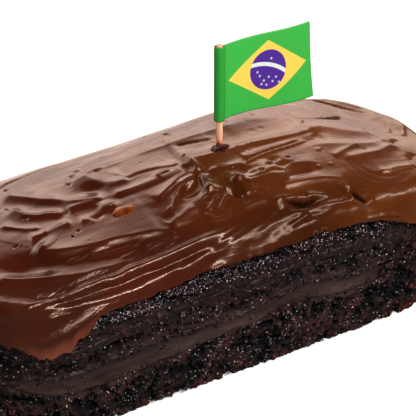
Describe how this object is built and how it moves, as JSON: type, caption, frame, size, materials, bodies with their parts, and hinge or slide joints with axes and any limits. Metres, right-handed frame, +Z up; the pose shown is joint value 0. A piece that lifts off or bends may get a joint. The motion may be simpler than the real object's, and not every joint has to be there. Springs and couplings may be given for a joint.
{
  "type": "iced chocolate loaf cake with a flag pick",
  "caption": "Small loaf-shaped chocolate cake, split and filled with cream, with a poured glossy icing cap that drips at one end and a paper flag on a cocktail stick.",
  "frame": {"origin": "middle of the cake's footprint on the surface it stands on", "axes": "+Z up, +X along the loaf's long side, and the side that shows its layers best faces -Y"},
  "size_m": [0.1676, 0.0758, 0.0894],
  "materials": {
    "sponge": "moist dark chocolate crumb, open and rough, with small glossy moist specks",
    "cream": "smooth grey-brown chocolate cream, satin, smeared by the knife",
    "icing": "glossy milk chocolate icing worked with a spatula, dark in its hollows",
    "stick": "pale fine-grained wood, stained dark where it enters the icing",
    "paper": "printed coated paper, slightly glossy, with a common national flag in green, yellow, blue and white"
  },
  "bodies": {
    "root": {"lower_layer": "sponge", "lower_filling": "cream", "middle_layer": "sponge", "upper_filling": "cream", "upper_layer": "sponge", "icing": "icing", "pick": "stick", "flag": "paper"}
  },
  "joints": []
}
